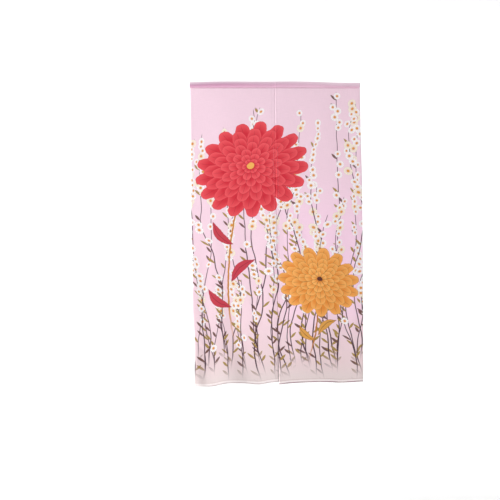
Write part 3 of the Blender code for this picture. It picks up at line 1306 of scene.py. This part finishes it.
@dataclass(kw_only=True)
class Panel(ClothPiece):
    """One width of the curtain, from the pocket's stitch line to its hem.

    Its side is -1 for the left width and 1 for the right one, and its hem line says how far the
    hem hangs below the cloth's length at a place u.
    """

    side: int
    folds: tuple[Fold, ...]
    creases: tuple[Crease, ...]
    hem_line: tuple[Pair, ...]
    sheet_thickness: float = 0.0008
    hem_thickness: float = 0.0017
    hem: float = 0.012
    hem_step: float = 0.0012
    # The foot's row of vertices above the edge, the stitches' distance inside the hem's edge, and
    # how far below the pocket's stitches they start.
    foot_step: float = 0.0035
    stitch_inset: float = 0.0018
    stitch_start: float = 0.003
    pucker_depth: float = 0.0006
    pucker_pitch: float = 0.024
    pucker_reach: float = 0.030
    # What tells one upright seam's pucker, and one level seam's, from another's.
    pucker_seeds: Pair = (3.0, 5.0)
    grid_step: Pair = (0.0045, 0.0075)

    def pucker(self, u: float, v: float) -> float:
        """How far the sewing draws the cloth in and out beside its seams.

        Args:
            u: the place to the right of the slit.
            v: the place below the top edge.

        Returns:
            The depth, in metres.
        """
        sides = min(abs(u), self.cloth.half_width - abs(u))
        ends = min(self.cloth.length - v, v - self.cloth.pocket_drop)
        upright, level = self.pucker_seeds
        along, seed = (v, upright * u) if sides < ends else (u, level * v)
        wave = unevenness(along / self.pucker_pitch, math.tau * round(seed, 1))
        return self.pucker_depth * wave * bump(min(sides, ends) / self.pucker_reach)

    def depth(self, u: float, v: float) -> float:
        """How far the cloth stands towards the viewer at a place of the flat cloth.

        Args:
            u: the place to the right of the slit.
            v: the place below the top edge.

        Returns:
            The depth, in metres.
        """
        cloth = self.cloth
        slack = bump(v / cloth.ripple_end) * smooth((v - cloth.pocket_drop) / cloth.slit_start)
        depth = cloth.ripple_depth * slack * math.cos(math.tau * u / cloth.ripple_pitch)
        depth += sum(fold.depth_at(u, v, cloth) for fold in self.folds)
        depth += sum(crease.depth_at(u, v) for crease in self.creases)
        return depth + self.pucker(u, v)

    def point(self, u: float, v: float) -> Point:
        """Where a place of the flat cloth's printed face hangs.

        Args:
            u: the place to the right of the slit.
            v: the place below the top edge.

        Returns:
            The point, in metres.
        """
        cloth = self.cloth
        slit_drift = curve_at(cloth.edges, v, Edge.SLIT)
        edge_drift = curve_at(cloth.edges, v, Edge.LEFT if self.side < 0 else Edge.RIGHT)
        drift = slit_drift + (edge_drift - slit_drift) * abs(u) / cloth.half_width
        gap = -cloth.slit_overlap * cloth.to_hem(v, cloth.overlap_start) ** 2
        drop = curve_at(self.hem_line, u) * cloth.to_hem(v, cloth.hem_drop_start)
        return u + drift + self.side * 0.5 * gap, -self.depth(u, v), -(v + drop)

    def on_face(self, u: float, v: float, lift: float) -> Point:
        """A point off the printed face.

        Args:
            u: the place to the right of the slit.
            v: the place below the top edge.
            lift: how far the point stands off the face; negative ones lie behind it.

        Returns:
            The point, in metres.
        """
        step = 0.0005
        here = Vector(self.point(u, v))
        right = Vector(self.point(u + step, v)) - here
        down = Vector(self.point(u, v + step)) - here
        return tuple(here + down.cross(right).normalized() * lift)

    def build(self, finishes: Sequence[bpy.types.Material]) -> None:
        """Makes the panel's cloth, with its hems as thicker borders.

        Args:
            finishes: the materials of the printed face and the reverse.
        """
        left, right = sorted((0.0, self.side * self.cloth.half_width))
        top, foot = self.cloth.pocket_drop, self.cloth.length
        hem, inner = self.hem, self.hem + self.hem_step
        across_marks = (left, left + hem, left + inner, right - inner, right - hem, right)
        across = stations(across_marks, self.grid_step[0])
        down_marks = (top, foot - inner, foot - hem, foot - self.foot_step, foot)
        down = stations(down_marks, self.grid_step[1])
        self.lay(SheetGrid(across, down, self.point, lambda u, v: (u, foot - v)), finishes)
        group = self.piece.vertex_groups.new(name="hem")
        just_over_hem = hem + 1e-6
        hemmed = [
            row * len(across) + column
            for row, v in enumerate(down)
            for column, u in enumerate(across)
            if min(abs(u - left), abs(u - right), foot - v) <= just_over_hem
        ]
        group.add(hemmed, 1.0, "REPLACE")
        thinner = self.sheet_thickness / self.hem_thickness
        shares = {"vertex_group": group.name, "thickness_vertex_group": thinner}
        self.thicken(self.hem_thickness, **shares)

    def seams(self) -> list[list[Point]]:
        """The lines of stitches along the panel's hems.

        Returns:
            Each line's points, on the face and behind it.
        """
        cloth, step = self.cloth, self.seam_step
        inset = self.hem - self.stitch_inset
        outer, slit = self.side * (cloth.half_width - inset), self.side * inset
        foot = cloth.length - inset
        runs = (
            [(outer, v) for v in spaced(cloth.pocket_drop + self.stitch_start, foot, step)],
            [(slit, v) for v in spaced(cloth.slit_start, foot, step)],
            [(u, foot) for u in spaced(slit, outer, step)],
        )
        lifts = (self.seam_lift, -self.hem_thickness - self.seam_lift)
        return [[self.on_face(u, v, lift) for u, v in run] for run in runs for lift in lifts]


@dataclass(kw_only=True)
class Heading(ClothPiece):
    """The rod pocket: one tube of cloth across both widths, open at both ends."""

    name: str = "heading"
    # The distance up the pocket's front, over and down its back.
    flat_height: float = 0.079
    radius: float = 0.0095
    bulge: float = 0.25
    wall: float = 0.0008
    arc_steps: int = 14
    side_steps: int = 5
    grid_step: float = 0.005
    pucker_depth: float = 0.0007
    pucker_pitch: float = 0.031
    pucker_seed: float = 0.7
    # The back puckers by this share of what the front does.
    back_pucker: float = 0.4
    # The stitch line: how far it stops short of the ends, stands above the bottom of the pocket,
    # and lies before and behind it.
    stitch_inset: float = 0.002
    stitch_rise: float = 0.0006
    stitch_faces: Pair = (-0.0006, 0.0008)
    # How far the top edge sags at a place u.
    top_line: tuple[Pair, ...] = (
        (-0.425, 0.004),
        (-0.330, 0.001),
        (-0.225, 0.000),
        (-0.060, 0.001),
        (0.090, 0.000),
        (0.200, 0.002),
        (0.300, 0.006),
        (0.425, 0.007),
    )

    def section(self, u: float) -> list[Pair]:
        """The pocket's cross-section at a place along it.

        The cloth rises straight from the stitch line, turns over where a rod would lie, and comes
        straight back down to the stitches.

        Args:
            u: the place along the pocket.

        Returns:
            Points y and z, up the front, over and down the back.
        """
        sag = curve_at(self.top_line, u)
        radius = self.radius + self.bulge * sag
        centre_z = -sag - radius
        reach = centre_z + self.cloth.pocket_drop
        half_angle = math.asin(radius / reach)
        side_length = math.sqrt(reach**2 - radius**2)
        wave = self.pucker_depth * unevenness(u / self.pucker_pitch, self.pucker_seed)

        def side_point(way: float, share: float) -> Pair:
            """Finds a point on one straight side.

            Args:
                way: -1 for the front and 1 for the back.
                share: how far up from the stitches, as a share of its length.

            Returns:
                The point's y and z.
            """
            length = side_length * share
            drawn_in = wave * math.sin(math.pi * share) * (1.0 if way < 0.0 else self.back_pucker)
            y = way * length * math.sin(half_angle) + drawn_in
            return y, length * math.cos(half_angle) - self.cloth.pocket_drop

        def arc_point(share: float) -> Pair:
            """A point on the turn, a share of the way from the front to the back."""
            angle = math.pi + half_angle - (math.pi + 2.0 * half_angle) * share
            return radius * math.cos(angle), centre_z + radius * math.sin(angle)

        shares = [i / self.side_steps for i in range(self.side_steps)]
        front = [side_point(-1.0, share) for share in shares]
        over = [arc_point(i / self.arc_steps) for i in range(self.arc_steps + 1)]
        back = [side_point(1.0, share) for share in reversed(shares)]
        return [*front, *over, *back]

    def build(self, finishes: Sequence[bpy.types.Material]) -> None:
        """Makes the pocket's cloth.

        Args:
            finishes: the materials of the printed face and the reverse.
        """
        half = self.cloth.half_width
        across = spaced(-half, half, self.grid_step)
        sections = {u: self.section(u) for u in across}
        middle = sections[across[len(across) // 2]]
        # Flat coordinates go on past the top edge and down the back.
        heights = [self.cloth.length - self.cloth.pocket_drop]
        stitch_h, run = heights[0], 0.0
        for before, after in zip(middle, middle[1:]):
            run += math.dist(before, after)
            heights.append(stitch_h + run)
        grid = SheetGrid(
            across,
            range(len(middle))[::-1],
            lambda u, step: (u, *sections[u][step]),
            lambda u, step: (u, heights[step]),
            closed=True,
        )
        self.lay(grid, finishes)
        self.thicken(self.wall, use_even_offset=True)

    def seams(self) -> list[list[Point]]:
        """The line of stitches that closes the pocket.

        Returns:
            Its points, on the face and behind it.
        """
        half = self.cloth.half_width - self.stitch_inset
        z = -self.cloth.pocket_drop + self.stitch_rise
        return [[(u, y, z) for u in spaced(-half, half, self.seam_step)] for y in self.stitch_faces]


@dataclass
class Stitching:
    """Lockstitch laid along seams by Geometry Nodes: one small rounded stitch after another."""

    thread: bpy.types.Material
    pitch: float = 0.0042
    stitch: float = 0.0031
    width: float = 0.0007
    seed: int = 7
    # A stitch's thickness is this share of its width, and its length varies by these shares.
    flatness: float = 0.7
    spread: Pair = (0.86, 1.10)
    # The ball that is stretched to a stitch: its segments, rings and radius.
    ball: tuple[int, int, float] = (6, 4, 0.5)
    tree: Tree = field(init=False)

    def __post_init__(self) -> None:
        """Builds the tree once, for every seam."""
        floats = dict.fromkeys(("Pitch", "Stitch Length", "Thread Width"), "Float")
        inputs = {"Seams": "Geometry", **floats, "Seed": "Int", "Thread": "Material"}
        self.tree, put, (seams, pitch, length, width, seed, thread), made = new_group(
            "stitches_along_seam", "GeometryNodeTree", inputs, {"Stitches": "Geometry"}
        )
        run = put(Kind("GeometryNodeMeshToCurve"), seams)
        resample = Kind("GeometryNodeResampleCurve", {"mode": "LENGTH"})
        even = put(resample, into={"Curve": run, "Length": pitch})
        ball = put(Kind("GeometryNodeMeshUVSphere"), *self.ball)
        way = put(Kind("GeometryNodeInputTangent"))
        turn = put(Kind("FunctionNodeAlignRotationToVector"), into={"Vector": way}, axis="X")
        uneven = put(Kind("FunctionNodeRandomValue"), *self.spread, None, seed)
        long, flat = put(MULTIPLY, length, uneven), put(MULTIPLY, width, self.flatness)
        size = put(JOIN, long, width, flat)
        stitch = {"Points": even, "Instance": ball, "Rotation": turn, "Scale": size}
        laid = put(Kind("GeometryNodeInstanceOnPoints"), into=stitch)
        real = put(Kind("GeometryNodeRealizeInstances"), laid)
        dyed = put(Kind("GeometryNodeSetMaterial"), into={"Geometry": real, "Material": thread})
        feed(self.tree, made, dyed)

    def sew(self, name: str, seams: Sequence[Sequence[Point]]) -> bpy.types.Object:
        """Lays stitches along seams.

        Args:
            name: the piece's name.
            seams: each seam's points, in metres.

        Returns:
            One mesh of all the stitches.
        """
        points, edges = [], []
        for seam in seams:
            first = len(points)
            points += seam
            edges += [(i, i + 1) for i in range(first, len(points) - 1)]
        mesh = bpy.data.meshes.new(name)
        mesh.from_pydata(points, edges, [])
        piece = bpy.data.objects.new(name, mesh)
        modifier = piece.modifiers.new("stitches", "NODES")
        modifier.node_group = self.tree
        sizes = {
            "Pitch": self.pitch,
            "Stitch Length": self.stitch,
            "Thread Width": self.width,
            "Seed": self.seed,
            "Thread": self.thread,
        }
        for socket in self.tree.interface.items_tree:
            if socket.in_out == "INPUT" and socket.name in sizes:
                modifier[socket.identifier] = sizes[socket.name]
        show(piece)
        settle(piece)
        piece.data.shade_smooth()
        return piece


# --- The studio ---


@dataclass
class SoftLight:
    """A large soft lamp that looks at a point."""

    name: str
    place: Point
    aim: Point
    width: float
    height: float
    power: float
    colour: str = "FFFFFF"

    def build(self) -> None:
        """Hangs the lamp."""
        lamp = bpy.data.lights.new(self.name, "AREA")
        lamp.shape, lamp.size, lamp.size_y = "RECTANGLE", self.width, self.height
        lamp.energy, lamp.color = self.power, linear(self.colour)[:3]
        holder = bpy.data.objects.new(self.name, lamp)
        holder.location = self.place
        look = Vector(self.aim) - Vector(self.place)
        holder.rotation_euler = look.to_track_quat("-Z", "Y").to_euler()
        show(holder)


@dataclass
class Studio:
    """White paper swept up behind the curtain, soft lamps and the camera."""

    paper: bpy.types.Material
    floor_z: float = -2.04
    half_width: float = 7.0
    front: float = -7.0
    back: float = 3.2
    bend: float = 1.6
    bend_steps: int = 24
    top: float = 4.0
    # 500 pixels of the photograph span 2.5 m at the curtain, 4 m away.
    camera_place: Point = (-0.124, -4.0, -0.843)
    sensor: float = 36.0
    seen_width: float = 2.5
    lights: tuple[SoftLight, ...] = (
        SoftLight("key", (-3.6, -2.6, 0.4), (0.0, 0.0, -0.8), 1.2, 1.8, 135.0),
        SoftLight("fill", (2.6, -3.6, -0.2), (0.0, 0.0, -0.8), 2.4, 2.4, 12.5),
        SoftLight("paper_left", (-2.4, 0.15, 1.0), (-0.5, 3.2, -1.6), 1.6, 1.6, 47.0),
        SoftLight("paper_right", (2.4, 0.15, 1.0), (0.5, 3.2, -1.6), 1.6, 1.6, 55.0),
    )
    room_colour: str = "FFFFFF"
    room_strength: float = 0.305

    def sweep(self) -> bpy.types.Object:
        """Makes the floor and the backdrop as one sheet of paper.

        Returns:
            The sheet.
        """
        profile = [(self.front, self.floor_z)]
        for i in range(self.bend_steps + 1):
            angle = 0.5 * math.pi * i / self.bend_steps
            y = self.back - self.bend + self.bend * math.sin(angle)
            profile.append((y, self.floor_z + self.bend * (1.0 - math.cos(angle))))
        profile.append((self.back, self.top))
        across = spaced(-self.half_width, self.half_width, 1.0)
        n = len(across)
        faces = [
            [row * n + i, row * n + i + 1, (row + 1) * n + i + 1, (row + 1) * n + i]
            for row in range(len(profile) - 1)
            for i in range(n - 1)
        ]
        mesh = bpy.data.meshes.new("paper_sweep")
        mesh.from_pydata([(x, y, z) for y, z in profile for x in across], [], faces)
        mesh.shade_smooth()
        mesh.materials.append(self.paper)
        return bpy.data.objects.new("paper_sweep", mesh)

    def build(self) -> None:
        """Sets up the paper, the lamps, the room's light and the camera."""
        sweep = self.sweep()
        show(sweep)
        for light in self.lights:
            light.build()
        scene = bpy.context.scene
        world = bpy.data.worlds.new("soft_room")
        world.use_nodes = True
        background = world.node_tree.nodes["Background"]
        background.inputs["Color"].default_value = linear(self.room_colour)
        background.inputs["Strength"].default_value = self.room_strength
        scene.world = world
        scene.view_settings.view_transform = "Standard"
        lens = bpy.data.cameras.new("camera")
        lens.lens = self.sensor * -self.camera_place[1] / self.seen_width
        lens.sensor_width = self.sensor
        camera = bpy.data.objects.new("camera", lens)
        camera.location = self.camera_place
        camera.rotation_euler = (0.5 * math.pi, 0.0, 0.0)
        show(camera)
        scene.camera = camera


# --- The curtain ---


def left_panel(cloth: HangingCloth) -> Panel:
    """The left width, whose folds are the deeper ones.

    Args:
        cloth: the rules that both widths hang by.

    Returns:
        The panel.
    """
    return Panel(
        name="panel_left",
        side=-1,
        cloth=cloth,
        folds=(
            Fold(-0.436, -0.388, 0.059, 0.0100, 0.73, 1.23, 1.46),
            Fold(-0.463, -0.428, 0.032, -0.0065, 1.23, 1.55, THROUGH_HEM),
            Fold(-0.414, -0.408, 0.042, 0.0075, 1.28, 1.38, THROUGH_HEM),
            Fold(-0.319, -0.285, 0.061, 0.0033, 0.57, 1.18, 1.32),
            Fold(-0.273, -0.238, 0.143, 0.0185, 1.29, 1.50, THROUGH_HEM),
            Fold(-0.269, -0.172, 0.111, -0.0060, 0.86, 1.25, THROUGH_HEM),
            Fold(-0.216, -0.163, 0.056, -0.0026, 1.28, 1.43, THROUGH_HEM),
            Fold(-0.034, 0.032, 0.135, 0.0090, 0.55, 0.78, THROUGH_HEM),
            Fold(0.000, 0.000, 0.022, -0.0016, 0.54, 1.27, THROUGH_HEM),
            Fold(0.008, 0.008, 0.024, -0.0042, 1.10, 1.45, THROUGH_HEM),
        ),
        creases=(
            Crease((-0.396, 1.288), (-0.358, 1.326), 0.013, 0.0030),
            Crease((-0.406, 1.299), (-0.368, 1.337), 0.013, -0.0022),
        ),
        hem_line=(
            (-0.425, 0.024),
            (-0.345, 0.025),
            (-0.265, 0.008),
            (-0.195, 0.008),
            (-0.105, 0.0155),
            (-0.048, 0.006),
            (0.000, 0.000),
        ),
    )


def right_panel(cloth: HangingCloth) -> Panel:
    """The right width, which hangs nearly flat.

    Args:
        cloth: the rules that both widths hang by.

    Returns:
        The panel.
    """
    return Panel(
        name="panel_right",
        side=1,
        cloth=cloth,
        folds=(
            Fold(0.210, 0.210, 0.600, 0.0082, 0.40, 0.95, THROUGH_HEM),
            Fold(0.240, 0.210, 0.170, 0.0095, 0.40, 1.18, 1.49),
            Fold(0.377, 0.324, 0.092, -0.0043, 0.54, 0.89, THROUGH_HEM),
            Fold(0.428, 0.412, 0.045, -0.0088, 0.40, 0.94, 1.47),
            Fold(0.088, 0.106, 0.068, 0.0050, 0.63, 0.80, 1.60),
            Fold(0.275, 0.253, 0.076, -0.0025, 0.91, 1.09, THROUGH_HEM),
            Fold(-0.004, -0.004, 0.0115, -0.0036, 0.50, 1.00, THROUGH_HEM),
        ),
        creases=(
            Crease((0.020, 1.445), (0.060, 1.440), 0.022, -0.0018),
            Crease((0.215, 1.260), (0.250, 1.440), 0.026, -0.0016),
        ),
        hem_line=(
            (0.000, 0.0145),
            (0.070, 0.0072),
            (0.180, 0.0024),
            (0.260, 0.0028),
            (0.312, 0.0055),
            (0.425, -0.0012),
        ),
    )


def main() -> None:
    """Builds the studio and the curtain."""
    logging.basicConfig(level=logging.INFO, format="%(name)s: %(message)s")
    Studio(StudioPaper().material()).build()
    LOG.info("studio ready")
    design = MeadowPrint().group()
    polyester = PrintedPolyester()
    finishes = [polyester.material(face, design) for face in ClothFace]
    stitching = Stitching(SpunThread().material())
    cloth = HangingCloth()
    heading = Heading(cloth=cloth)
    hung_on = [f"{heading.name}_cloth"]
    panel_flat = (cloth.half_width, cloth.length - cloth.pocket_drop)
    for part, flat, rests_on in (
        (heading, (2.0 * cloth.half_width, heading.flat_height), []),
        (left_panel(cloth), panel_flat, hung_on),
        (right_panel(cloth), panel_flat, hung_on),
    ):
        part.build(finishes)
        sewn = stitching.sew(f"{part.name}_stitches", part.seams())
        part.declare(sewn, flat, rests_on)
        cloth_faces, stitch_faces = len(part.piece.data.polygons), len(sewn.data.polygons)
        LOG.info("%s: %d faces, stitches %d", part.name, cloth_faces, stitch_faces)


if __name__ == "__main__":
    main()
